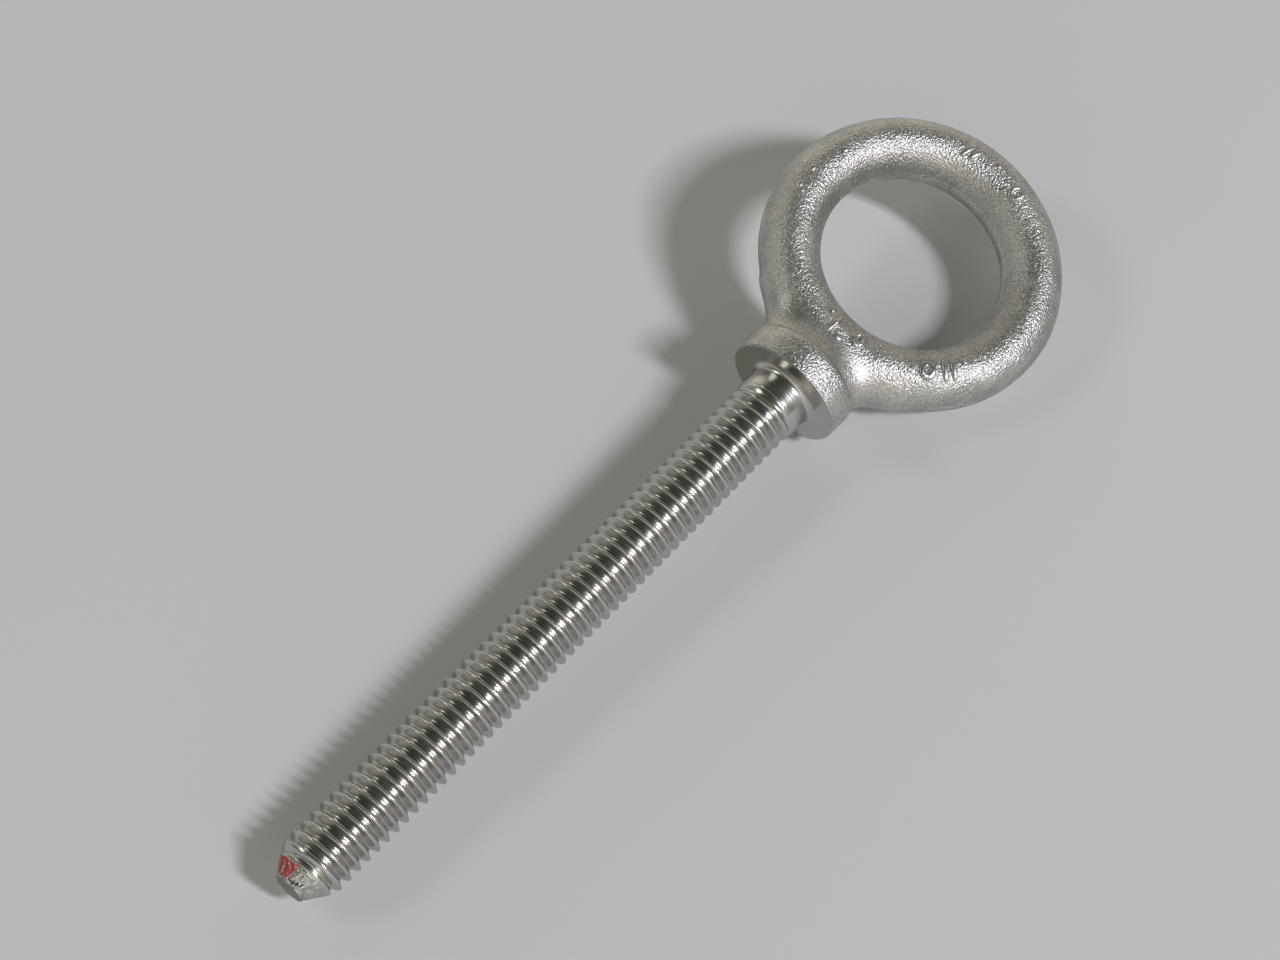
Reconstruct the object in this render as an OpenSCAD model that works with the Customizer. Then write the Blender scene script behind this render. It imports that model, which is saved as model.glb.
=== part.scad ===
// Shoulder-pattern eye bolt with a long threaded shank, lying on its side.
// The origin is the centre of the shoulder's seating face. +X runs from that face towards the
// eye, the shank runs along -X, the eye's ring lies in the XY plane, and +Z is the upper face.
// All lengths are millimetres.

/* [Thread] */
// Outside diameter of the thread
thread_d = 7.8; // [6:0.1:12]
// Threads per inch
threads_per_inch = 18; // [16:1:20]
// Seating face to the flat end of the point
shank_length = 78; // [40:1:100]

/* [Neck and point] */
// Diameter of the plain neck under the shoulder
neck_d = 7.9; // [7.9:0.1:12.2]
// Length of the plain neck, fillet included
neck_length = 2.8; // [2:0.1:6]
// Radius of the fillet between the neck and the seating face
neck_fillet = 0.7; // [0.3:0.1:1]
// Diameter of the flat on the end of the point
point_flat_d = 3.3; // [2:0.1:4]
// Rise of the point's cone for each millimetre along it
point_slope = 0.65; // [0.5:0.05:0.8]

/* [Shoulder] */
// Largest diameter of the shoulder
collar_d = 14.4; // [13:0.1:20]
// Thickness of the shoulder
collar_t = 4.2; // [3:0.1:6]
// Rounding of the edge at the seating face
seat_edge = 0.3; // [0.1:0.05:0.5]
// Rounding of the edge on the eye's side
back_edge = 0.8; // [0.4:0.1:1.2]

/* [Eye] */
// Diameter of the hole through the eye
eye_hole_d = 22; // [18:0.5:30]
// Width of the ring's section, across the ring
section_w = 7; // [6:0.1:9]
// Height of the ring's section, through the ring
section_h = 8; // [6:0.1:9]
// Seating face to the centre of the eye
eye_rise = 23.2; // [22:0.1:28]

/* [Forging detail] */
// Width of the trimmed flash line
flash_w = 1.2; // [0.6:0.1:2]
// How far the flash line stands proud of the ring
flash_proud = 0.12; // [0.05:0.01:0.3]
// Height of the raised marks
mark_h = 0.25; // [0.1:0.05:0.4]

/* [Hidden] */

steel = "#b9b7b2";
bright_steel = "#d2d3d2";

pitch = 25.4 / threads_per_inch;
thread_depth = 0.6134 * pitch;
thread_r = thread_d / 2;
root_r = thread_r - thread_depth;
neck_r = neck_d / 2;
fillet_r = neck_r + neck_fillet;
collar_r = collar_d / 2;
ring_r = (eye_hole_d + section_w) / 2;
ring_outer_r = ring_r + section_w / 2;
ring_inner_r = ring_r - section_w / 2;

// The neck is let into the shoulder by this much, so the seating face is a true ring.
neck_socket = 0.8;

// The point: a small rounded corner, then a cone that ends on the thread's root diameter.
point_flat_r = point_flat_d / 2;
corner = 0.3;
point_length = corner + (root_r - point_flat_r - corner) / point_slope;

// The thread runs from the point's cone to the neck.
thread_length = shank_length - neck_length - point_length;
steps = 20;                            // stations in one turn of the thread
crest_half = pitch / 16;               // half of the flat on the crest
flank_half = crest_half + thread_depth * tan(30);
start_turns = 1.1;                     // turns over which the ridge grows out of the point
runout_turns = 2;                      // turns over which the groove fades into the neck
first_z = flank_half + 0.05;
stations = floor((thread_length - 2 * first_z) / pitch * steps);

// Every raised mark: its shape, its angle round the eye from +X, its offset from the middle of
// the ring's section, and its turn. A bar with no turn runs along the ring.
MARKS = [["dot", 106, 1.1, 0], ["bar", 101, -0.5, 90], ["dot", 96.5, 0.9, 0], ["dot", 79, 0, 0],
         ["bar", 17, 0, 55], ["bar", 13, 0, 55], ["dot", 2, 0.4, 0], ["ring", -13, -0.2, 0],
         ["dot", 170, -0.9, 0], ["bar", 176, -0.2, 90], ["dot", 181, 0.8, 0],
         ["ring", 188.5, -0.4, 0], ["ring", -137, 0.2, 0], ["bar", -129, 0.2, 90],
         ["bar", -125, 0.2, 90]];
mark_length = 2.4;
mark_width = 0.6;
dot_r = 0.5;
mark_ring_r = 0.95;

function arc(cx, cy, r, from, to, n) =
    [for (i = [0:n]) let (t = from + (to - from) * i / n) [cx + r * cos(t), cy + r * sin(t)]];

function oval(a, b, n) = [for (i = [0:n - 1]) let (t = 360 * i / n) [a * cos(t), b * sin(t)]];

// A solid turned about the X axis. Its outline is a list of [radius, distance along +X].
module turned(outline) {
    rotate([0, 90, 0]) rotate_extrude($fn = 96) polygon(outline);
}

// The ring's oval section carried round the eye. grow makes it larger all over.
module ring_solid(grow = 0) {
    translate([eye_rise, 0, 0])
        rotate_extrude($fn = 128)
            translate([ring_r, 0])
                polygon(oval(section_w / 2 + grow, section_h / 2 + grow, 40));
}

module eye_ring() {
    color(steel) ring_solid();
}

// The flash line is trimmed flush where the saddle joins the ring, so its outer half stops there.
module flash_land() {
    saddle_reach = 9.4;
    color(steel) difference() {
        translate([eye_rise, 0, 0]) rotate_extrude($fn = 128) {
            translate([ring_outer_r - 0.4, -flash_w / 2]) square([0.4 + flash_proud, flash_w]);
            translate([ring_inner_r - flash_proud, -flash_w / 2])
                square([0.4 + flash_proud, flash_w]);
        }
        ring_solid();
        translate([eye_rise - ring_outer_r - 1, -ring_outer_r, -flash_w])
            cube([saddle_reach - eye_rise + ring_outer_r + 1, 2 * ring_outer_r, 2 * flash_w]);
    }
}

module mark_prism(shape) {
    height = section_h;
    if (shape == "bar")
        translate([-mark_width / 2, -mark_length / 2, 0]) cube([mark_width, mark_length, height]);
    if (shape == "dot")
        cylinder(r = dot_r, h = height, $fn = 32);
    if (shape == "ring")
        difference() {
            cylinder(r = mark_ring_r, h = height, $fn = 48);
            translate([0, 0, -1]) cylinder(r = mark_ring_r - mark_width, h = height + 2, $fn = 48);
        }
}

module raised_marks() {
    color(steel) difference() {
        intersection() {
            ring_solid(mark_h);
            union() {
                for (mark = MARKS)
                    translate([eye_rise, 0, 0]) rotate([0, 0, mark[1]])
                        translate([ring_r + mark[2], 0, 0]) rotate([0, 0, mark[3]])
                            mark_prism(mark[0]);
            }
        }
        ring_solid();
    }
}

// A thin oval plate across the X axis, half_y wide and half_z high.
module oval_plate(x, half_y, half_z) {
    translate([x, 0, 0]) rotate([0, 90, 0])
        linear_extrude(0.02) polygon(oval(half_z, half_y, 32));
}

// The saddle widens from the shoulder to the flanks of the ring and thins to its height.
module eye_saddle() {
    color(steel) difference() {
        hull() {
            oval_plate(collar_t, collar_r - back_edge, 0.8 * collar_r);
            oval_plate(collar_t + 1.6, collar_r + 0.4, 0.66 * collar_r);
            oval_plate(collar_t + 4, collar_r + 1.8, 0.46 * section_h);
        }
        ring_solid();
    }
}

module shoulder_collar() {
    color(steel) difference() {
        turned(concat(
            [[0, 0]],
            arc(collar_r - 0.25 - seat_edge, seat_edge, seat_edge, -90, -20, 5),
            [[collar_r, 1], [collar_r, collar_t - back_edge]],
            arc(collar_r - back_edge, collar_t - back_edge, back_edge, 10, 90, 6),
            [[0, collar_t]]));
        turned([[0, -1], [fillet_r, -1], [fillet_r, neck_socket], [0, neck_socket]]);
    }
}

module plain_neck() {
    color(bright_steel) turned(concat(
        [[0, -neck_length], [neck_r, -neck_length]],
        arc(fillet_r, -neck_fillet, neck_fillet, 180, 90, 8),
        [[fillet_r, neck_socket], [0, neck_socket]]));
}

// The thread is one closed surface. Station i lies i / steps turns along the helix and has four
// profile points: the two feet of the ridge and the two edges of its crest. Quads join each
// station to the next, and the flat of the root joins a station to the one a full turn on. The
// ridge has no height at its two ends, so a plain ring of points closes each end of the shank.
function rise(i) = min(1, i / steps / start_turns);
function fade(i) = min(1, (stations - i) / steps / runout_turns);
function crest_at(i) = root_r + thread_depth * rise(i);
function foot_at(i) = min(crest_at(i), thread_r - thread_depth * fade(i));
function helix(i, r, dz) =
    [r * cos(360 * i / steps), r * sin(360 * i / steps), first_z + pitch * i / steps + dz];
function end_ring(r, z) =
    [for (j = [0:steps - 1]) [r * cos(360 * j / steps), r * sin(360 * j / steps), z]];

module threaded_shank() {
    ring_a = 4 * (stations + 1);
    ring_b = ring_a + steps;
    last = stations - steps;
    points = concat(
        [for (i = [0:stations]) each [
            helix(i, foot_at(i), -flank_half), helix(i, crest_at(i), -crest_half),
            helix(i, crest_at(i), crest_half), helix(i, foot_at(i), flank_half)]],
        end_ring(root_r, 0),
        end_ring(thread_r, thread_length));
    ridge = [for (i = [0:stations - 1]) for (k = [0:2]) each [
        [4 * i + k, 4 * i + k + 1, 4 * (i + 1) + k + 1],
        [4 * i + k, 4 * (i + 1) + k + 1, 4 * (i + 1) + k]]];
    root = [for (i = [0:last - 1]) each [
        [4 * i + 3, 4 * (i + steps), 4 * (i + 1 + steps)],
        [4 * i + 3, 4 * (i + 1 + steps), 4 * (i + 1) + 3]]];
    start = [for (j = [0:steps - 2]) each [
        [ring_a + j, 4 * j, 4 * (j + 1)],
        [ring_a + j, 4 * (j + 1), ring_a + j + 1]]];
    start_seam = let (p = 4 * (steps - 1), run = [ring_a, 0, 1, 2, 3, 4 * steps]) concat(
        [[ring_a + steps - 1, p, ring_a]],
        [for (k = [0:4]) [run[k], p, run[k + 1]]]);
    end = [for (i = [last + 1:stations - 1]) each [
        [4 * i + 3, ring_b + i % steps, ring_b + (i + 1) % steps],
        [4 * i + 3, ring_b + (i + 1) % steps, 4 * (i + 1) + 3]]];
    end_seam = let (
        p = 4 * (last + 1) + 3,
        top = ring_b + stations % steps,
        run = [4 * last + 3, 4 * stations, 4 * stations + 1, 4 * stations + 2,
               4 * stations + 3, top, ring_b + (stations + 1) % steps]) [
        for (k = [0:5]) [run[k], run[k + 1], p]];
    discs = [[for (j = [0:steps - 1]) ring_a + j], [for (j = [0:steps - 1]) ring_b + steps - 1 - j]];
    color(bright_steel) translate([-shank_length + point_length, 0, 0]) rotate([0, 90, 0])
        polyhedron(points, concat(ridge, root, start, start_seam, end, end_seam, discs));
}

module chamfered_point() {
    color(bright_steel) translate([-shank_length, 0, 0]) turned(concat(
        [[0, 0]],
        arc(point_flat_r, corner, corner, -90, -30, 4),
        [[root_r, point_length], [0, point_length]]));
}

eye_ring();
flash_land();
raised_marks();
eye_saddle();
shoulder_collar();
plain_neck();
threaded_shank();
chamfered_point();
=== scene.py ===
"""Finished surfaces, materials and studio for a shoulder eye bolt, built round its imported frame.

The origin is the centre of the shoulder's seating face. +X runs from that face towards the eye,
the shank runs along -X, the eye's ring lies in the XY plane, and +Z is the upper face.
Every length is in metres.
"""

import math

import bpy  # noqa: E402
import numpy as np  # noqa: E402
from bpy.props import (  # noqa: E402
    FloatProperty,
    FloatVectorProperty,
    IntProperty,
    PointerProperty,
)
from mathutils import Matrix, Vector  # noqa: E402


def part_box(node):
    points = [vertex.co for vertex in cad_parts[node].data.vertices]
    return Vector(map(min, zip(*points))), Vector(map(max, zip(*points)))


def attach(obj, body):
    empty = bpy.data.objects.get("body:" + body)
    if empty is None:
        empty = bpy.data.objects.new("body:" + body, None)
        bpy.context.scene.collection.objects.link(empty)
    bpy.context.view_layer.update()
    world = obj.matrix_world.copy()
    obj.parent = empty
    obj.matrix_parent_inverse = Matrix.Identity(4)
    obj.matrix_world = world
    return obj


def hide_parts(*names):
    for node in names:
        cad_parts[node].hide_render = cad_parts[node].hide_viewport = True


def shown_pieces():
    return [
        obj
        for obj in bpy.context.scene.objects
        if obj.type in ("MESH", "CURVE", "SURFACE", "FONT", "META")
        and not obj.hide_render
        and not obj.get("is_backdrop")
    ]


bl_info = {
    "name": "Shoulder Eye Bolt",
    "version": (1, 0, 0),
    "blender": (4, 5, 0),
    "location": "View3D > Sidebar > Eye Bolt",
    "description": "Builds the finished surfaces, materials and studio of a shoulder eye bolt",
    "category": "Add Mesh",
}

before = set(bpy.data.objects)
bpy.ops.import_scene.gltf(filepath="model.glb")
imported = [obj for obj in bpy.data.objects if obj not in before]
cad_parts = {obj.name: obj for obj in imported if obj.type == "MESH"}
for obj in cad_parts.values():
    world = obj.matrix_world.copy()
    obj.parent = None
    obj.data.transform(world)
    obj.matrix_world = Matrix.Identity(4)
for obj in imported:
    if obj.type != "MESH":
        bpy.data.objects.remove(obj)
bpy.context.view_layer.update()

MM = 0.001
TAU = 2 * math.pi
BODY = "root"

# Sizes that the frame already fixes.
RING_LOW, RING_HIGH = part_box("eye_ring")
COLLAR_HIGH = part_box("shoulder_collar")[1]
NECK_LOW, NECK_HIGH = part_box("plain_neck")
THREAD_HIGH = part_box("threaded_shank")[1]
POINT_LOW, POINT_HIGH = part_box("chamfered_point")
EYE_CENTRE = (RING_LOW.x + RING_HIGH.x) / 2
EYE_OUTER_R = (RING_HIGH.y - RING_LOW.y) / 2
EYE_HALF_H = RING_HIGH.z
COLLAR_R = COLLAR_HIGH.y
COLLAR_T = COLLAR_HIGH.x
FILLET_R = NECK_HIGH.y
THREAD_R = THREAD_HIGH.y
SHANK_END = POINT_LOW.x
ROOT_R = POINT_HIGH.y

# The saddle's oval section widens and thins from the shoulder towards the ring. It widens by
# SADDLE_WIDENING times the 1.5th power of the millimetres past SADDLE_STRAIGHT.
SADDLE_START = COLLAR_T - 0.6 * MM
SADDLE_END = COLLAR_T + 4.3 * MM
SADDLE_HALF_Y = COLLAR_R - 0.25 * MM
SADDLE_STRAIGHT = 0.4
SADDLE_WIDENING = 0.42 * MM
SADDLE_HALF_Z = 5.2 * MM
SADDLE_THINNING = 0.33

# The search for the forged skin along each ray.
FARTHEST_SKIN = 9 * MM
HALVINGS = 34

# The point's cone: its corner at the flat end, its rise and its blend into the thread.
CORNER = 0.3 * MM
CONE_RISE = 0.65
CONE_BLEND = 0.6 * MM

# The studio's colours and the brightness of the room as the camera sees it.
KEY_COLOUR = (0.92, 0.915, 1.0)
SIDE_COLOUR = (0.97, 1.0, 0.90)
ROOM_COLOUR = (1.0, 0.995, 0.87, 1.0)
ROOM_SEEN_COLOUR = (0.98, 0.985, 1.0, 1.0)
ROOM_SEEN = 0.55


# ---------------------------------------------------------------- sizes and colours


class EyeSizes(bpy.types.PropertyGroup):
    """Sizes of the forged eye and its raised marks."""

    hole: FloatProperty(
        name="Hole",
        description="Diameter of the hole through the eye",
        default=22 * MM,
        unit="LENGTH",
    )
    flash_width: FloatProperty(
        name="Flash width",
        description="Width of the trimmed flash line",
        default=1.3 * MM,
        unit="LENGTH",
    )
    flash_proud: FloatProperty(
        name="Flash height",
        description="How far the trimmed flash line stands proud of the ring",
        default=0.1 * MM,
        unit="LENGTH",
    )
    blend: FloatProperty(
        name="Saddle blend",
        description="Size of the fillet between the saddle and the ring",
        default=1.4 * MM,
        unit="LENGTH",
    )
    mark_height: FloatProperty(
        name="Mark height",
        description="Height of the raised marks",
        default=0.3 * MM,
        unit="LENGTH",
    )
    unevenness: FloatProperty(
        name="Unevenness",
        description="Depth of the forging's gentle waviness",
        default=0.07 * MM,
        unit="LENGTH",
    )


class ShankSizes(bpy.types.PropertyGroup):
    """Sizes of the turned neck, the rolled thread and the point."""

    pitch: FloatProperty(
        name="Pitch",
        description="Distance from one thread crest to the next",
        default=25.4 / 18 * MM,
        unit="LENGTH",
    )
    neck_fillet: FloatProperty(
        name="Neck fillet",
        description="Radius of the fillet between the neck and the seating face",
        default=0.7 * MM,
        unit="LENGTH",
    )
    point_flat: FloatProperty(
        name="Point flat",
        description="Diameter of the flat on the end of the point",
        default=3.3 * MM,
        unit="LENGTH",
    )
    runout: FloatProperty(
        name="Run-out",
        description="Turns over which the thread groove fades into the neck",
        default=1.6,
    )
    steps: IntProperty(
        name="Steps in a turn",
        description="Points round one turn of the thread",
        default=96,
    )
    profile_points: IntProperty(
        name="Profile points",
        description="Points along the thread's outline from one root to the next",
        default=16,
    )


class FinishColours(bpy.types.PropertyGroup):
    """Colours of the metal, the paint and the floor."""

    forged: FloatVectorProperty(
        name="Blasted steel",
        description="Colour of the shot-blasted forging",
        default=(0.62, 0.60, 0.575),
        subtype="COLOR",
    )
    bright: FloatVectorProperty(
        name="Bright steel",
        description="Colour of the turned neck and the rolled thread",
        default=(0.60, 0.585, 0.565),
        subtype="COLOR",
    )
    edge: FloatVectorProperty(
        name="Edge tint",
        description="Tint of the steel's reflections where it is seen edge-on",
        default=(0.80, 0.78, 0.75),
        subtype="COLOR",
    )
    paint: FloatVectorProperty(
        name="Paint",
        description="Colour of the paint flecks on the point",
        default=(0.52, 0.045, 0.03),
        subtype="COLOR",
    )
    floor: FloatVectorProperty(
        name="Floor",
        description="Colour of the plain pale floor",
        default=(0.74, 0.745, 0.75),
        subtype="COLOR",
    )


class StudioSettings(bpy.types.PropertyGroup):
    """The camera's place, the lights and the floor's slope under the resting bolt."""

    azimuth: FloatProperty(
        name="Camera azimuth",
        description="Turn of the camera round the upright axis, from the -Y side",
        default=math.radians(-78.2),
        subtype="ANGLE",
    )
    elevation: FloatProperty(
        name="Camera elevation",
        description="Height of the camera above the plane of the eye",
        default=math.radians(68.0),
        subtype="ANGLE",
    )
    roll: FloatProperty(
        name="Camera roll",
        description="Turn of the camera about its own line of sight",
        default=math.radians(32.5),
        subtype="ANGLE",
    )
    distance: FloatProperty(
        name="Camera distance",
        description="Distance from the camera to the point it aims at",
        default=0.288,
        unit="LENGTH",
    )
    aim: FloatVectorProperty(
        name="Aim",
        description="Point that the camera aims at",
        default=(-19.4 * MM, 4.3 * MM, 0),
        subtype="TRANSLATION",
    )
    lens: FloatProperty(
        name="Lens",
        description="Focal length in millimetres for a sensor 36 mm wide",
        default=74.1,
    )
    floor_up: FloatVectorProperty(
        name="Floor upright",
        description="Upright direction of the floor, which one side of the eye touches and which "
        "the shoulder and the thread's end come near",
        default=(0.043, 0.292, 0.955),
        subtype="DIRECTION",
    )
    key_from: FloatVectorProperty(
        name="Key light",
        description="Direction from the bolt towards the key light",
        default=(0.131, -0.504, 0.854),
        subtype="DIRECTION",
    )
    key_power: FloatProperty(
        name="Key power",
        description="Power of the key light in watts",
        default=36.0,
    )
    key_size: FloatVectorProperty(
        name="Key size",
        description="Width and height of the key light",
        default=(0.24, 0.44),
        size=2,
        unit="LENGTH",
    )
    side_from: FloatVectorProperty(
        name="Side light",
        description="Direction from the bolt towards the wide, weak side light",
        default=(-0.407, 0.780, 0.471),
        subtype="DIRECTION",
    )
    side_power: FloatProperty(
        name="Side power",
        description="Power of the side light in watts",
        default=6.0,
    )
    side_size: FloatVectorProperty(
        name="Side size",
        description="Width and height of the side light",
        default=(0.9, 0.5),
        size=2,
        unit="LENGTH",
    )
    light_distance: FloatProperty(
        name="Light distance",
        description="Distance from the bolt to each light",
        default=2.5,
        unit="LENGTH",
    )
    room_low: FloatProperty(
        name="Room at the horizon",
        description="Brightness of the surroundings near the horizon",
        default=0.52,
    )
    room_ends: FloatVectorProperty(
        name="Room's bright ends",
        description="Level direction along which the room is brighter, both ways",
        default=(0.747, 0.627, -0.225),
        subtype="DIRECTION",
    )
    room_high: FloatProperty(
        name="Room overhead",
        description="Brightness of the surroundings overhead",
        default=0.06,
    )


# ---------------------------------------------------------------- shapes


def smooth_step(low, high, value):
    """0 below low, 1 above high, and a smooth S-shaped rise between them."""
    t = np.clip((value - low) / (high - low), 0, 1)
    return t * t * (3 - 2 * t)


def smooth_least(a, b, reach):
    """The lesser of a and b, rounded off where they differ by less than reach."""
    h = np.clip(0.5 + 0.5 * (b - a) / reach, 0, 1)
    return b * (1 - h) + a * h - reach * h * (1 - h)


def smooth_most(a, b, reach):
    """The greater of a and b, rounded off where they differ by less than reach."""
    return -smooth_least(-a, -b, reach)


def waviness(points, size, seed):
    """A gentle unevenness between 0 and 1 for points in space: a sum of sine waves with lengths
    near size, whose directions and phases are drawn from a fixed seed."""
    draw = np.random.default_rng(seed)
    waves = 28
    directions = draw.normal(size=(waves, 3))
    directions /= np.linalg.norm(directions, axis=1, keepdims=True)
    directions *= (TAU / size * draw.uniform(0.6, 1.5, waves))[:, None]
    phases = draw.uniform(0, TAU, waves)
    total = np.sin(points @ directions.T + phases).sum(-1) / math.sqrt(waves / 2)
    return np.clip(0.5 + total / 5, 0, 1)


def forging_lumps(points, seed):
    """The forging's unevenness between 0 and 1: four parts of broad waves to one of small ones."""
    return 0.8 * waviness(points, 6 * MM, seed) + 0.2 * waviness(points, 2.2 * MM, seed + 1)


def grid_quads(rows, columns, wrap_rows, wrap_columns):
    """Quads between neighbouring points of a grid, whose points are numbered row by row."""
    i = np.arange(rows if wrap_rows else rows - 1)[:, None]
    j = np.arange(columns if wrap_columns else columns - 1)[None, :]
    next_i, next_j = (i + 1) % rows, (j + 1) % columns
    corners = (i * columns + j, next_i * columns + j, next_i * columns + next_j, i * columns + next_j)
    return np.stack(np.broadcast_arrays(*corners), -1).reshape(-1, 4)


def add_piece(name, points, faces, finish, nodes):
    """Makes a smooth-shaded piece that rides on the bolt's one body and stands for CAD nodes."""
    mesh = bpy.data.meshes.new(name)
    mesh.from_pydata(points.reshape(-1, 3), [], faces)
    mesh.shade_smooth()
    mesh.validate()
    mesh.materials.append(finish)
    piece = bpy.data.objects.new(name, mesh)
    bpy.context.scene.collection.objects.link(piece)
    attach(piece, BODY)
    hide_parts(*nodes)


def turned_surface(outline, segments, wobble=None):
    """A closed surface turned about the X axis. The outline runs from one point on the axis to
    another as (distance along X, radius); every other point becomes a ring, the ring at angle t
    lies at (x, r cos t, r sin t), and a fan closes each end. wobble may move the rings' points."""
    x, r = np.asarray(outline, float).T
    t = TAU * np.arange(segments) / segments
    rings = np.stack(
        np.broadcast_arrays(x[1:-1, None], r[1:-1, None] * np.cos(t), r[1:-1, None] * np.sin(t)), -1
    )
    if wobble is not None:
        rings = wobble(rings)
    count = len(rings)
    quads = grid_quads(count, segments, False, True)
    first, last = count * segments, count * segments + 1
    j = np.arange(segments)
    k = (j + 1) % segments
    end = (count - 1) * segments
    start_fan = np.stack([np.full(segments, first), j, k], -1)
    end_fan = np.stack([np.full(segments, last), end + k, end + j], -1)
    points = np.concatenate([rings.reshape(-1, 3), [[x[0], 0, 0], [x[-1], 0, 0]]])
    if x[-1] > x[0]:
        quads, start_fan, end_fan = quads[:, ::-1], start_fan[:, ::-1], end_fan[:, ::-1]
    return points, quads.tolist() + start_fan.tolist() + end_fan.tolist()


def arc(centre_x, centre_r, radius, start, end, count):
    """Points of an outline along an arc, as (x, r). Angles are in degrees from the +X direction."""
    t = np.radians(np.linspace(start, end, count))
    return [(centre_x + radius * math.cos(a), centre_r + radius * math.sin(a)) for a in t]


def line(start, end, count):
    """Evenly spaced points of an outline from start up to, but not including, end."""
    return [tuple(p) for p in np.linspace(start, end, count, endpoint=False)]


# ---------------------------------------------------------------- shader helpers


class Value:
    """A number output of a shader node. Arithmetic on it adds Math nodes."""

    def __init__(self, finish, socket):
        self.finish = finish
        self.socket = socket

    def _math(self, operation, first, second):
        made = self.finish.node("ShaderNodeMath", {"operation": operation}, {0: first, 1: second})
        return Value(self.finish, made.outputs[0])

    def __add__(self, other):
        return self._math("ADD", self, other)

    def __radd__(self, other):
        return self._math("ADD", other, self)

    def __sub__(self, other):
        return self._math("SUBTRACT", self, other)

    def __rsub__(self, other):
        return self._math("SUBTRACT", other, self)

    def __mul__(self, other):
        return self._math("MULTIPLY", self, other)

    def __rmul__(self, other):
        return self._math("MULTIPLY", other, self)


class Finish:
    """A material, or the room's light, under construction."""

    def __init__(self, owner):
        self.owner = owner
        owner.use_nodes = True
        self.tree = owner.node_tree
        self.tree.nodes.clear()

    def node(self, kind, settings=None, sockets=None):
        """Adds a node: its settings first, then the values or links of its sockets."""
        made = self.tree.nodes.new(kind)
        for key, value in (settings or {}).items():
            setattr(made, key, value)
        for key, value in (sockets or {}).items():
            source = value.socket if isinstance(value, Value) else value
            if isinstance(source, bpy.types.NodeSocket):
                self.tree.links.new(source, made.inputs[key])
            else:
                made.inputs[key].default_value = source
        return made

    def value(self, kind, output, settings=None, sockets=None):
        """Adds a node and returns one of its number outputs."""
        return Value(self, self.node(kind, settings, sockets).outputs[output])

    def place(self):
        """Object coordinates, in metres."""
        return self.node("ShaderNodeTexCoord").outputs["Object"]

    def axes(self, vector):
        """The three numbers of a vector."""
        split = self.node("ShaderNodeSeparateXYZ", None, {0: vector})
        return [Value(self, split.outputs[axis]) for axis in "XYZ"]

    def stretched(self, vector, scale):
        """A vector with each axis multiplied by its own scale."""
        made = self.node("ShaderNodeVectorMath", {"operation": "MULTIPLY"}, {0: vector, 1: scale})
        return made.outputs[0]

    def dot(self, vector, direction):
        """How far a vector reaches along a direction."""
        sockets = {0: vector, 1: tuple(Vector(direction).normalized())}
        return self.value("ShaderNodeVectorMath", "Value", {"operation": "DOT_PRODUCT"}, sockets)

    def noise(self, vector, scale, detail=2.0, roughness=0.5):
        """Cloudy noise, where 1 / scale is the size of its lumps in metres."""
        sockets = {"Vector": vector, "Scale": scale, "Detail": detail, "Roughness": roughness}
        return self.value("ShaderNodeTexNoise", "Fac", None, sockets)

    def dimples(self, vector, scale):
        """Rounded cells, as shot leaves: 0 at each dimple's middle."""
        settings = {"feature": "SMOOTH_F1"}
        sockets = {"Vector": vector, "Scale": scale, "Smoothness": 0.35}
        return self.value("ShaderNodeTexVoronoi", "Distance", settings, sockets)

    def ramp(self, value, low, high, bottom=0.0, top=1.0):
        """A smooth rise from bottom to top as value goes from low to high."""
        sockets = {"Value": value, "From Min": low, "From Max": high, "To Min": bottom, "To Max": top}
        return self.value("ShaderNodeMapRange", "Result", {"interpolation_type": "SMOOTHSTEP"}, sockets)

    def blend(self, factor, first, second):
        """A colour between two colours."""
        made = self.node("ShaderNodeMix", {"data_type": "RGBA"}, {0: factor, 6: first, 7: second})
        return made.outputs[2]

    def bump(self, height, depth):
        """A normal from a height between 0 and 1 and its depth in metres."""
        sockets = {"Height": height, "Distance": depth, "Strength": 1.0}
        return self.node("ShaderNodeBump", None, sockets).outputs["Normal"]

    def surface(self, sockets):
        """Ends a material with a Principled BSDF."""
        shader = self.node("ShaderNodeBsdfPrincipled", None, sockets)
        self.node("ShaderNodeOutputMaterial", None, {"Surface": shader.outputs[0]})
        return self.owner


def opaque(colour, brightness=1.0):
    """An RGBA colour from an RGB one, made lighter or darker."""
    return (*[channel * brightness for channel in colour], 1.0)


# ---------------------------------------------------------------- finishes


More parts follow.
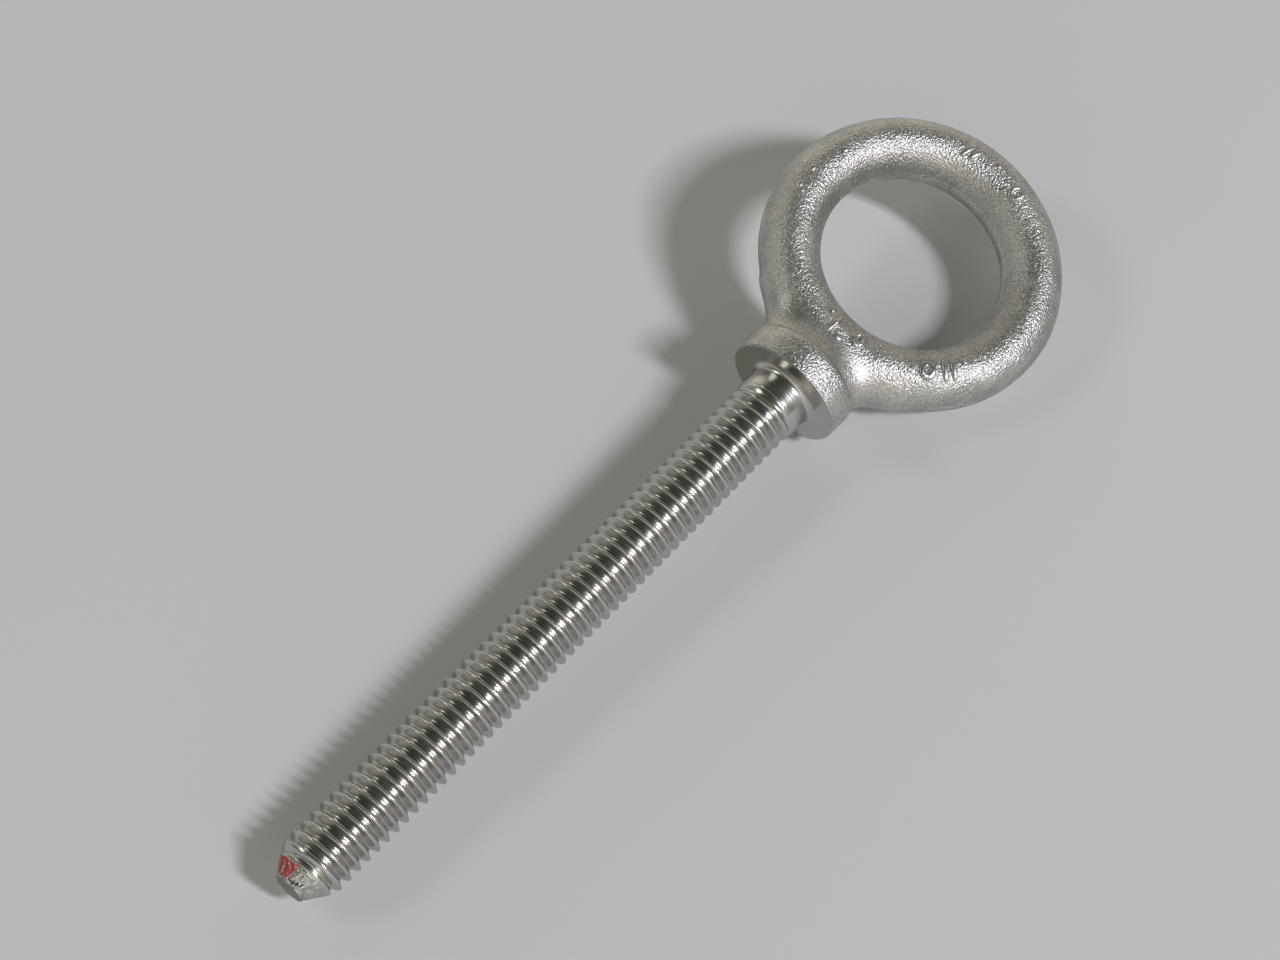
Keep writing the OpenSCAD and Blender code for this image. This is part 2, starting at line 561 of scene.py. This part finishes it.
def blasted_steel(name, colour, edge_tint, grain=1.0):
    """Shot-blasted forged stainless steel: fine overlapping dimples that sparkle, a slightly
    uneven tone, a duller saddle and a smooth machined seating face."""
    finish = Finish(bpy.data.materials.new(name))
    place = finish.place()
    along, _, _ = finish.axes(place)
    forged = finish.ramp(along, 0.03 * MM, 0.12 * MM)
    on_saddle = finish.ramp(along, COLLAR_T - 0.2 * MM, COLLAR_T + 0.5 * MM)
    on_saddle = on_saddle * finish.ramp(along, COLLAR_T + 4.5 * MM, COLLAR_T + 3 * MM)
    fine = finish.noise(place, scale=4000, detail=2.5, roughness=0.6)
    pits = finish.dimples(place, 3500)
    cloud = finish.noise(place, scale=260, detail=3.0, roughness=0.6)
    height = (fine * 0.62 + pits * 0.34) * (forged * 0.97 + 0.03)
    height = height * (1.0 - 0.5 * on_saddle)
    specks = finish.ramp(finish.noise(place, scale=5200, detail=2.0, roughness=0.7), 0.36, 0.64)
    tone = finish.ramp(cloud, 0.3, 0.7) * 0.35 + specks * 0.65
    base = finish.blend(tone * forged + 0.5 * (1.0 - forged), opaque(colour, 0.6), opaque(colour, 1.22))
    rough = finish.ramp(fine * 0.5 + cloud * 0.5, 0.3, 0.7, bottom=0.3, top=0.42)
    rough = rough * forged + 0.22 * (1.0 - forged) + 0.06 * on_saddle
    return finish.surface(
        {
            "Base Color": base,
            "Metallic": 1.0,
            "Roughness": rough,
            "Specular Tint": opaque(edge_tint),
            "Normal": finish.bump(height, 0.19 * MM * grain),
        }
    )


def turned_steel(name, colour, edge_tint):
    """Bright turned steel with fine rings round the axis."""
    finish = Finish(bpy.data.materials.new(name))
    place = finish.place()
    rings = finish.noise(finish.stretched(place, (6000, 50, 50)), scale=1.0, detail=3.0, roughness=0.65)
    cloud = finish.noise(place, scale=500, detail=2.0, roughness=0.5)
    return finish.surface(
        {
            "Base Color": finish.blend(cloud, opaque(colour, 0.92), opaque(colour, 1.05)),
            "Metallic": 1.0,
            "Roughness": finish.ramp(rings * 0.5 + cloud * 0.5, 0.3, 0.7, bottom=0.18, top=0.28),
            "Specular Tint": opaque(edge_tint),
            "Normal": finish.bump(rings, 0.016 * MM),
        }
    )


def rolled_steel(name, colour, edge_tint):
    """Bright rolled steel, drawn smooth along the turns, with faint pulled streaks."""
    finish = Finish(bpy.data.materials.new(name))
    place = finish.place()
    streaks = finish.noise(finish.stretched(place, (9000, 160, 160)), scale=1.0, detail=1.0, roughness=0.5)
    cloud = finish.noise(place, scale=900, detail=3.0, roughness=0.55)
    return finish.surface(
        {
            "Base Color": finish.blend(cloud, opaque(colour, 0.84), opaque(colour, 1.08)),
            "Metallic": 1.0,
            "Roughness": finish.ramp(streaks * 0.5 + cloud * 0.5, 0.3, 0.7, bottom=0.19, top=0.28),
            "Specular Tint": opaque(edge_tint),
            "Normal": finish.bump(streaks * 0.9 + cloud * 0.1, 0.011 * MM),
        }
    )


def painted_point_steel(name, colour, edge_tint, paint):
    """Hammered and streaked steel, stained near its end, with worn flecks of paint on one side of
    the point's cone, and a flat end painted dark as painted shade for the shadowed floor it faces."""
    finish = Finish(bpy.data.materials.new(name))
    place = finish.place()
    along, across, upper = finish.axes(place)
    streaks = finish.noise(finish.stretched(place, (9000, 400, 400)), scale=1.0, detail=3.0, roughness=0.6)
    cloud = finish.noise(place, scale=1400, detail=3.0, roughness=0.6)
    side = across * 0.87 + upper * 0.5
    near_end = finish.ramp(along, SHANK_END + 1.97 * MM, SHANK_END + 1.8 * MM)
    off_flat = finish.ramp(along, SHANK_END + 0.15 * MM, SHANK_END + 0.4 * MM)
    facing_side = finish.ramp(side - 0.2 * (along - SHANK_END), 1.4 * MM, 1.65 * MM)
    flecks = finish.ramp(finish.noise(place, scale=1500, detail=2.0, roughness=0.6), 0.43, 0.48)
    painted = flecks * near_end * off_flat * facing_side
    on_cone = finish.ramp(along, SHANK_END + 0.03 * MM, SHANK_END + 0.16 * MM)
    hammered = finish.noise(place, scale=1500, detail=1.5, roughness=0.5)
    by_end = finish.ramp(along, SHANK_END + 1.1 * MM, SHANK_END + 0.5 * MM)
    stain = finish.ramp(finish.noise(place, scale=1700, detail=2.0, roughness=0.6), 0.5, 0.58) * by_end
    # Off the cone, the flat end's darker base colour is painted shade for the shadowed floor it reflects;
    # the noise stains near the end are the steel's own.
    unstained_and_lit = (1.0 - 0.75 * stain) * (on_cone * 0.95 + 0.05)
    steel = finish.blend(unstained_and_lit * (cloud * 0.6 + 0.4), opaque(colour, 0.32), opaque(colour, 1.2))
    bare = (1.0 - painted) * (on_cone * 0.6 + 0.4)
    return finish.surface(
        {
            "Base Color": finish.blend(painted, steel, opaque(paint)),
            "Metallic": bare,
            "Roughness": finish.ramp(cloud, 0.3, 0.7, bottom=0.18, top=0.3) + 0.3 * (1.0 - bare),
            "Specular Tint": opaque(edge_tint),
            "Normal": finish.bump(streaks * 0.04 + hammered + painted * 0.06, 0.34 * MM),
        }
    )


def pale_floor(name, colour):
    """A plain pale matt sheet, seen only from its upper side, so the bolt shows from below too."""
    finish = Finish(bpy.data.materials.new(name))
    place = finish.place()
    tone = finish.noise(place, scale=9, detail=2.0, roughness=0.5)
    shader = finish.node(
        "ShaderNodeBsdfPrincipled",
        None,
        {
            "Base Color": finish.blend(tone, opaque(colour, 0.98), opaque(colour, 1.02)),
            "Roughness": 0.55,
            "Specular IOR Level": 0.3,
        },
    )
    clear = finish.node("ShaderNodeBsdfTransparent")
    under = finish.node("ShaderNodeNewGeometry").outputs["Backfacing"]
    sides = {0: under, 1: shader.outputs[0], 2: clear.outputs[0]}
    mixed = finish.node("ShaderNodeMixShader", None, sides)
    finish.node("ShaderNodeOutputMaterial", None, {"Surface": mixed.outputs[0]})
    return finish.owner


# ---------------------------------------------------------------- pieces


def ring_section(sizes):
    """Half the width of the ring's section, and the radius of the circle through its middle."""
    half_w = (EYE_OUTER_R - sizes.hole / 2) / 2
    return half_w, EYE_OUTER_R - half_w


def forged_skin(phi, t, height, sizes):
    """Points of the eye's forged skin, raised by height. For each angle phi round the eye from +X
    and each angle t round its section, the skin lies where a straight ray from the section's
    middle leaves the union of two solids: the ring, whose section is an oval, and the saddle, an
    oval tube along X that widens and thins towards the ring. The union is rounded by the blend
    size, and repeated halving finds the distance. The skin then rises at the trimmed flash lines
    on the hole's and the rim's middle, and sinks by a gentle waviness."""
    half_w, middle = ring_section(sizes)
    phi, t = np.broadcast_arrays(phi, t)
    radial = np.stack([np.cos(phi), np.sin(phi), 0 * phi], -1)
    start = middle * radial + np.array([EYE_CENTRE, 0, 0])
    ray = np.cos(t)[..., None] * radial + np.sin(t)[..., None] * np.array([0, 0, 1.0])

    def outside(reach):
        """Below 0 inside the rounded union of ring and saddle, and above 0 outside it."""
        x, y, z = np.moveaxis(start + reach[..., None] * ray, -1, 0)
        out = np.hypot(x - EYE_CENTRE, y) - middle
        ring = (np.hypot(out / half_w, z / EYE_HALF_H) - 1) * half_w
        along = np.clip(x - COLLAR_T, 0, SADDLE_END - COLLAR_T)
        widened = SADDLE_WIDENING * np.maximum(along / MM - SADDLE_STRAIGHT, 0) ** 1.5
        half_y = SADDLE_HALF_Y + widened
        half_z = SADDLE_HALF_Z - SADDLE_THINNING * along
        saddle = (np.hypot(y / half_y, z / half_z) - 1) * half_z
        saddle = np.maximum(saddle, np.maximum(SADDLE_START - x, x - SADDLE_END))
        return smooth_least(ring, saddle, sizes.blend)

    near = np.zeros(phi.shape)
    far = np.full(phi.shape, FARTHEST_SKIN)
    for _ in range(HALVINGS):
        half = (near + far) / 2
        inside = outside(half) < 0
        near, far = np.where(inside, half, near), np.where(inside, far, half)
    points = start + near[..., None] * ray

    half_flash = sizes.flash_width / 2
    flash = 1 - smooth_step(half_flash - 0.2 * MM, half_flash, np.abs(points[..., 2]))
    past_saddle = smooth_step(COLLAR_T + 4.6 * MM, COLLAR_T + 6.5 * MM, points[..., 0])
    flash *= np.where(np.cos(t) > 0, past_saddle, 1.0)
    sink = sizes.unevenness * forging_lumps(points, 3) * (1 - 0.6 * flash)
    return points + (height + sizes.flash_proud * flash - sink)[..., None] * ray


class FORGING_OT_eye(bpy.types.Operator):
    """Build the eye's ring and saddle as one forged skin with its trimmed flash lines"""

    bl_idname = "eye_bolt.forged_eye"
    bl_label = "Forged Eye"

    def execute(self, context):
        """The forged skin on a grid of angles round the eye and angles round its section."""
        around, across = 576, 156
        phi = (TAU * np.arange(around) / around)[:, None]
        t = (TAU * np.arange(across) / across)[None, :]
        points = forged_skin(phi, t, 0, context.scene.eye_sizes)
        faces = grid_quads(around, across, True, True).tolist()
        colours = context.scene.eye_bolt_colours
        finish = blasted_steel("forged_steel", colours.forged, colours.edge)
        nodes = ["eye_ring", "eye_saddle", "flash_land"]
        add_piece("forged_eye", points, faces, finish, nodes)
        return {"FINISHED"}


# Each raised mark: its shape, its angle round the eye from +X in degrees, its offset in
# millimetres from the middle of the ring's section, and its turn in degrees.
MARKS = (
    ("dot", 106, 1.1, 0),
    ("bar", 101, -0.5, 90),
    ("dot", 96.5, 0.9, 0),
    ("dot", 79, 0, 0),
    ("bar", 17, 0, 55),
    ("bar", 13, 0, 55),
    ("dot", 2, 0.4, 0),
    ("loop", -13, -0.2, 0),
    ("dot", 170, -0.9, 0),
    ("bar", 176, -0.2, 90),
    ("dot", 181, 0.8, 0),
    ("loop", 188.5, -0.4, 0),
    ("loop", -137, 0.2, 0),
    ("bar", -129, 0.2, 90),
    ("bar", -125, 0.2, 90),
)


class FORGING_OT_marks(bpy.types.Operator):
    """Build the plain raised marks on the eye's upper face"""

    bl_idname = "eye_bolt.raised_marks"
    bl_label = "Raised Marks"

    def execute(self, context):
        """Each mark is a rounded ridge along a short path: a bar's is straight, a loop's is a
        circle and a dot's is a point. The ridge's section is a flattened oval, half of it sunk
        in the ring, and at the ends of a bar the section shrinks to a point."""
        sizes = context.scene.eye_sizes
        half_w, middle = ring_section(sizes)
        half_ridge = 0.34 * MM
        flattening, taper, mark_grain = 0.8, 0.6, 0.35
        reaches = {"bar": 0.85 * MM, "dot": 0.15 * MM, "loop": 0.65 * MM}
        around, steps = 20, 40
        t = TAU * np.arange(around) / around
        side = np.sign(np.cos(t)) * np.abs(np.cos(t)) ** flattening * half_ridge
        rise = np.sign(np.sin(t)) * np.abs(np.sin(t)) ** flattening * sizes.mark_height
        points, faces, count = [], [], 0
        for shape, angle, offset, turn in MARKS:
            reach = reaches[shape]
            closed = shape == "loop"
            if closed:
                s = TAU * np.arange(steps)[:, None] / steps
                across, tangent = (reach + side) * np.cos(s), (reach + side) * np.sin(s)
                height = rise + 0 * s
            else:
                s = math.pi * (np.arange(steps)[:, None] + 0.5) / steps - math.pi / 2
                shrink = np.cos(s) ** taper
                tangent = np.sin(s) * (reach + half_ridge) + 0 * side
                across, height = side * shrink, rise * shrink
            turned = math.radians(turn)
            u = offset * MM + across * math.cos(turned) - tangent * math.sin(turned)
            v = across * math.sin(turned) + tangent * math.cos(turned)
            phi = math.radians(angle) + v / middle
            placed = forged_skin(phi, np.arccos(u / half_w), height, sizes)
            points.append(placed.reshape(-1, 3))
            faces += (grid_quads(steps, around, closed, True) + count).tolist()
            first, last = count, count + (steps - 1) * around
            count += steps * around
            if not closed:
                points.append(placed[[0, -1]].mean(axis=1))
                j = np.arange(around)
                k = (j + 1) % around
                pole = np.full(around, count)
                faces += np.stack([pole, first + j, first + k], -1).tolist()
                faces += np.stack([pole + 1, last + k, last + j], -1).tolist()
                count += 2
        colours = context.scene.eye_bolt_colours
        finish = blasted_steel("mark_steel", colours.forged, colours.edge, mark_grain)
        points = np.concatenate(points)
        add_piece("raised_marks_skin", points, faces, finish, ["raised_marks"])
        return {"FINISHED"}


class FORGING_OT_collar(bpy.types.Operator):
    """Build the shoulder collar with its crowned side and machined seating face"""

    bl_idname = "eye_bolt.shoulder_collar"
    bl_label = "Shoulder Collar"

    def execute(self, context):
        """The outline is turned about X: the flat seating face, a small rounded edge, a crowned
        side whose radius falls off as the square of the distance from its fullest place, a
        larger rounded edge and a hollow fillet that runs out on the saddle. Away from the
        seating face the surface sinks by a gentle waviness."""
        sizes = context.scene.eye_sizes
        seat_edge, back_edge, hollow = 0.3 * MM, 1.3 * MM, 0.9 * MM
        full_x = 0.55 * COLLAR_T
        crown = 0.028 / MM

        def side(x):
            return COLLAR_R - crown * (x - full_x) ** 2

        def sink(rings):
            lumps = forging_lumps(rings, 7)
            keep = smooth_step(0.02 * MM, 0.8 * MM, rings[..., 0])
            scale = 1 - keep * lumps * sizes.unevenness / COLLAR_R
            return rings * np.stack([np.ones_like(scale), scale, scale], -1)

        bore = FILLET_R - 0.3 * MM
        seat_r = side(seat_edge) - seat_edge
        back_x = COLLAR_T - back_edge
        back_r = side(back_x) - back_edge
        saddle_r = 4.98 * MM
        socket = 0.8 * MM
        buried = COLLAR_T + hollow + 0.4 * MM
        outline = [(socket, 0)]
        outline += line((socket, bore), (0, bore), 3)
        outline += line((0, bore), (0, seat_r), 14)
        outline += arc(seat_edge, seat_r, seat_edge, 180, 92, 9)
        outline += [(x, side(x)) for x in np.linspace(seat_edge, back_x, 22)[1:-1]]
        outline += arc(back_x, back_r, back_edge, 88, 12, 14)
        outline += arc(COLLAR_T + hollow, saddle_r + hollow, hollow, 184, 270, 14)
        outline += [(buried, saddle_r - 0.5 * MM), (buried, 0)]
        points, faces = turned_surface(outline, 240, sink)
        colours = context.scene.eye_bolt_colours
        finish = blasted_steel("collar_steel", colours.forged, colours.edge)
        add_piece("shoulder", points, faces, finish, ["shoulder_collar"])
        return {"FINISHED"}


class TURNING_OT_neck(bpy.types.Operator):
    """Build the bright plain neck and its fillet"""

    bl_idname = "eye_bolt.neck"
    bl_label = "Plain Neck"

    def execute(self, context):
        """The outline is turned about X: a plain cylinder that starts over the thread's end with
        a softened edge, and a quarter-circle fillet that opens on to the seating face."""
        fillet = context.scene.shank_sizes.neck_fillet
        neck_r = FILLET_R - fillet
        start = NECK_LOW.x
        edge, buried = 0.12 * MM, 0.4 * MM
        outline = [(start, 0)]
        outline += line((start, 0.6 * neck_r), (start, neck_r - edge), 3)
        outline += arc(start + edge, neck_r - edge, edge, 180, 90, 5)
        outline += line((start + edge, neck_r), (-fillet, neck_r), 12)[1:]
        outline += arc(-fillet, neck_r + fillet, fillet, -90, 0, 18)
        outline += [(buried, FILLET_R), (buried, 0)]
        points, faces = turned_surface(outline, 192)
        colours = context.scene.eye_bolt_colours
        finish = turned_steel("neck_steel", colours.bright, colours.edge)
        add_piece("neck", points, faces, finish, ["plain_neck"])
        return {"FINISHED"}


def cone_radius(from_end, flat_r):
    """Radius of the point's cone at a distance from its flat end: a straight rise that rounds
    over into the thread's outside radius."""
    straight = flat_r + CORNER + CONE_RISE * (from_end - CORNER)
    return smooth_least(straight, THREAD_R, CONE_BLEND)


class ROLLING_OT_thread(bpy.types.Operator):
    """Build the rolled thread from the point to the neck"""

    bl_idname = "eye_bolt.thread"
    bl_label = "Rolled Thread"

    def execute(self, context):
        """Rows of points run along the axis and columns round it, and each column is set further
        along, so that one turn moves on by one pitch: a row follows the helix, and the last
        column joins the first one a whole profile further on. The radius depends on the place u
        between two roots: a wedge with 60 degree flanks, rounded at crest and root, where rows
        crowd together. The point's cone limits it, and it lies a little under the point's own
        skin there, and over the run-out it fills up to the neck.
        A fan from the axis closes each end, hidden in the point and in the neck."""
        sizes = context.scene.shank_sizes
        pitch, columns, parts = sizes.pitch, sizes.steps, sizes.profile_points
        crowding, crest_round, root_round, cone_round = 0.55, 0.09 * MM, 0.36 * MM, 0.06 * MM
        deepest_sunk, least_sunk = 0.25 * MM, 0.01 * MM
        start = SHANK_END + 0.3 * MM
        turns = math.ceil((NECK_LOW.x + 0.05 * MM - start) / pitch)
        rows = turns * parts + 1
        row = np.arange(rows)[:, None]
        column = np.arange(columns)[None, :]
        part = (row % parts) / parts
        u = part - crowding * np.sin(2 * TAU * part) / (2 * TAU)
        x = start + pitch * (row // parts + u + column / columns)
        # The first full crest on the upper side sets where the helix starts.
        first_crest = SHANK_END + 3.36 * MM
        angle = math.pi + TAU * (column / columns - (first_crest - start) / pitch + 0.5)

        slope = math.tan(math.radians(60))
        wedge = THREAD_R + slope * pitch * (1 / 16 - np.abs(u - 0.5))
        ridge = smooth_most(smooth_least(wedge, THREAD_R, crest_round), ROOT_R, root_round)
        filled = smooth_step(NECK_LOW.x - sizes.runout * pitch, NECK_LOW.x + 0.1 * pitch, x)
        ridge = ridge + filled * (THREAD_R - ridge)
        cone = cone_radius(x - SHANK_END, sizes.point_flat / 2)
        sunk = deepest_sunk * (1 - smooth_step(1.0 * MM, 1.95 * MM, x - SHANK_END))
        radius = smooth_least(ridge, cone - least_sunk - sunk, cone_round)
        points = np.stack([x, radius * np.sin(angle), -radius * np.cos(angle)], -1)

        quads = grid_quads(rows, columns, False, False)
        m = np.arange(rows - 1 - parts)
        low, high = m * columns + columns - 1, (m + parts) * columns
        seam = np.stack([low, low + columns, high + columns, high], -1)
        across = np.arange(columns)
        up = np.arange(parts, -1, -1)
        start_loop = np.concatenate([across, up[:-1] * columns])
        last_row = (rows - 1) * columns + across
        last_turn = (rows - 1 - up[::-1]) * columns + columns - 1
        end_loop = np.concatenate([last_row, last_turn])[:-1]
        poles = np.array([[start + pitch, 0, 0], [x.min() + pitch * turns, 0, 0]])
        faces = quads[:, ::-1].tolist() + seam[:, ::-1].tolist()
        total = rows * columns
        after = np.roll(start_loop, -1)
        faces += np.stack([np.full(len(start_loop), total), after, start_loop], -1).tolist()
        after = np.roll(end_loop, -1)
        faces += np.stack([np.full(len(end_loop), total + 1), end_loop, after], -1).tolist()
        points = np.concatenate([points.reshape(-1, 3), poles])
        colours = context.scene.eye_bolt_colours
        finish = rolled_steel("thread_steel", colours.bright, colours.edge)
        add_piece("rolled_thread", points, faces, finish, ["threaded_shank"])
        return {"FINISHED"}


class TURNING_OT_point(bpy.types.Operator):
    """Build the point with its small flat end and its flecks of paint"""

    bl_idname = "eye_bolt.point"
    bl_label = "Point"

    def execute(self, context):
        """The outline is turned about X: the slightly dished flat end, a small rounded corner,
        the cone and a face that lies inside the thread. The corner is uneven, as if sheared."""
        colours = context.scene.eye_bolt_colours
        flat_r = context.scene.shank_sizes.point_flat / 2
        outline = [(SHANK_END + 0.05 * MM, 0)]
        outline += line((SHANK_END + 0.04 * MM, 0.25 * flat_r), (SHANK_END, flat_r), 8)
        outline += arc(SHANK_END + CORNER, flat_r, CORNER, 180, 128, 6)
        distances = np.linspace(CORNER, POINT_HIGH.x - SHANK_END, 26)
        outline += [(SHANK_END + d, float(cone_radius(d, flat_r))) for d in distances]
        outline += [(POINT_HIGH.x, 0)]

        def shear(rings):
            lumps = waviness(rings, 0.9 * MM, 12)
            keep = 1 - smooth_step(1.0 * MM, 1.9 * MM, rings[..., 0] - SHANK_END)
            scale = 1 - keep * lumps * 0.06
            return rings * np.stack([np.ones_like(scale), scale, scale], -1)

        points, faces = turned_surface(outline, 160, shear)
        finish = painted_point_steel("point_steel", colours.bright, colours.edge, colours.paint)
        add_piece("point", points, faces, finish, ["chamfered_point"])
        return {"FINISHED"}


# ---------------------------------------------------------------- studio


def facing(back, up):
    """A rotation whose Z axis is back and whose Y axis is as near up as it can be."""
    z = Vector(back).normalized()
    x = Vector(up).cross(z).normalized()
    return Matrix((x, z.cross(x), z)).transposed().to_4x4()


class STUDIO_OT_stage(bpy.types.Operator):
    """Set up the camera, the lights, the room and the pale floor under the resting bolt"""

    bl_idname = "eye_bolt.stage"
    bl_label = "Studio"

    def execute(self, context):
        """The camera looks at its aim from an azimuth, an elevation and a distance, rolled about
        its own line of sight. The floor touches the bolt's lowest point along the floor's own
        upright. The room is dim overhead, and at the horizon it is brightest along one level
        direction, both ways."""
        self.camera(context)
        self.floor(context)
        studio = context.scene.studio
        key = (studio.key_from, studio.key_power, studio.key_size, KEY_COLOUR)
        side = (studio.side_from, studio.side_power, studio.side_size, SIDE_COLOUR)
        self.light("key_light", *key)
        self.light("side_light", *side)
        self.room(context)
        return {"FINISHED"}

    def camera(self, context):
        """A camera turned, raised and rolled about its aim."""
        studio = context.scene.studio
        data = bpy.data.cameras.new("camera")
        data.sensor_width = 36
        data.lens = studio.lens
        data.clip_start, data.clip_end = 0.01, 20
        camera = bpy.data.objects.new("camera", data)
        context.scene.collection.objects.link(camera)
        turn, height = studio.azimuth, studio.elevation
        back = Vector(
            (math.sin(turn) * math.cos(height), -math.cos(turn) * math.cos(height), math.sin(height))
        )
        place = Vector(studio.aim) + studio.distance * back
        level = facing(back, (0, 0, 1))
        camera.matrix_world = Matrix.Translation(place) @ level @ Matrix.Rotation(studio.roll, 4, "Z")
        context.scene.camera = camera

    def floor(self, context):
        """A wide square at right angles to the floor's upright, through the bolt's lowest point."""
        up = Vector(context.scene.studio.floor_up).normalized()
        lowest = min(v.co.dot(up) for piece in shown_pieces() for v in piece.data.vertices)
        half = 6.0
        corners = [(-half, -half, 0), (half, -half, 0), (half, half, 0), (-half, half, 0)]
        mesh = bpy.data.meshes.new("floor")
        mesh.from_pydata(corners, [], [(0, 1, 2, 3)])
        mesh.transform(Matrix.Translation(lowest * up) @ facing(up, (0, 1, 0)))
        mesh.materials.append(pale_floor("pale_floor", context.scene.eye_bolt_colours.floor))
        floor = bpy.data.objects.new("floor", mesh)
        context.scene.collection.objects.link(floor)
        floor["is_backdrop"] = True

    def light(self, name, towards, power, size, colour):
        """A rectangular light at a set distance along its direction, facing the bolt."""
        studio = bpy.context.scene.studio
        data = bpy.data.lights.new(name, "AREA")
        data.shape = "RECTANGLE"
        data.size, data.size_y = size
        data.energy = power
        data.color = colour
        light = bpy.data.objects.new(name, data)
        bpy.context.scene.collection.objects.link(light)
        direction = Vector(towards).normalized()
        place = Matrix.Translation(direction * studio.light_distance)
        light.matrix_world = place @ facing(direction, studio.floor_up)
        light.visible_camera = False

    def room(self, context):
        """Light from all round: near the horizon it goes as 0.3 plus 1.55 times the square of how
        far a direction points along the room's bright ends, and it fades to dim overhead."""
        studio = context.scene.studio
        world = bpy.data.worlds.new("room")
        context.scene.world = world
        room = Finish(world)
        direction = room.node("ShaderNodeTexCoord").outputs["Generated"]
        above = room.dot(direction, studio.floor_up)
        endways = room.dot(direction, studio.room_ends)
        low = (0.3 + 1.55 * endways * endways) * studio.room_low
        shade = low + (studio.room_high - low) * room.ramp(above, 0.45, 0.85)
        seen = room.value("ShaderNodeLightPath", "Is Camera Ray")
        shade = shade * (1.0 - seen) + ROOM_SEEN * seen
        colour = room.blend(seen, ROOM_COLOUR, ROOM_SEEN_COLOUR)
        back = room.node("ShaderNodeBackground", None, {"Color": colour, "Strength": shade})
        room.node("ShaderNodeOutputWorld", None, {"Surface": back.outputs[0]})


# ---------------------------------------------------------------- panel and registration


OPERATORS = (
    FORGING_OT_eye,
    FORGING_OT_marks,
    FORGING_OT_collar,
    TURNING_OT_neck,
    ROLLING_OT_thread,
    TURNING_OT_point,
    STUDIO_OT_stage,
)
GROUPS = {
    "eye_sizes": EyeSizes,
    "shank_sizes": ShankSizes,
    "eye_bolt_colours": FinishColours,
    "studio": StudioSettings,
}


class EYEBOLT_PT_sidebar(bpy.types.Panel):
    """Lists the eye bolt's sizes and the operators that build it"""

    bl_idname = "EYEBOLT_PT_sidebar"
    bl_label = "Shoulder Eye Bolt"
    bl_space_type = "VIEW_3D"
    bl_region_type = "UI"
    bl_category = "Eye Bolt"

    def draw(self, context):
        layout = self.layout
        for operator in OPERATORS:
            layout.operator(operator.bl_idname)
        for group in GROUPS:
            box = layout.box()
            settings = getattr(context.scene, group)
            for name in settings.__annotations__:
                box.prop(settings, name)


def register():
    """Registers the classes and gives every scene their settings."""
    for group in GROUPS.values():
        bpy.utils.register_class(group)
    for name, group in GROUPS.items():
        setattr(bpy.types.Scene, name, PointerProperty(type=group))
    for item in (*OPERATORS, EYEBOLT_PT_sidebar):
        bpy.utils.register_class(item)


def unregister():
    """Undoes register()."""
    for item in (EYEBOLT_PT_sidebar, *reversed(OPERATORS)):
        bpy.utils.unregister_class(item)
    for name in GROUPS:
        delattr(bpy.types.Scene, name)
    for group in reversed(list(GROUPS.values())):
        bpy.utils.unregister_class(group)


def main():
    """Builds every piece and the studio in order."""
    register()
    for build in (
        bpy.ops.eye_bolt.forged_eye,
        bpy.ops.eye_bolt.raised_marks,
        bpy.ops.eye_bolt.shoulder_collar,
        bpy.ops.eye_bolt.neck,
        bpy.ops.eye_bolt.thread,
        bpy.ops.eye_bolt.point,
        bpy.ops.eye_bolt.stage,
    ):
        build()
    bpy.context.scene.view_settings.view_transform = "Standard"


if __name__ == "__main__":
    main()
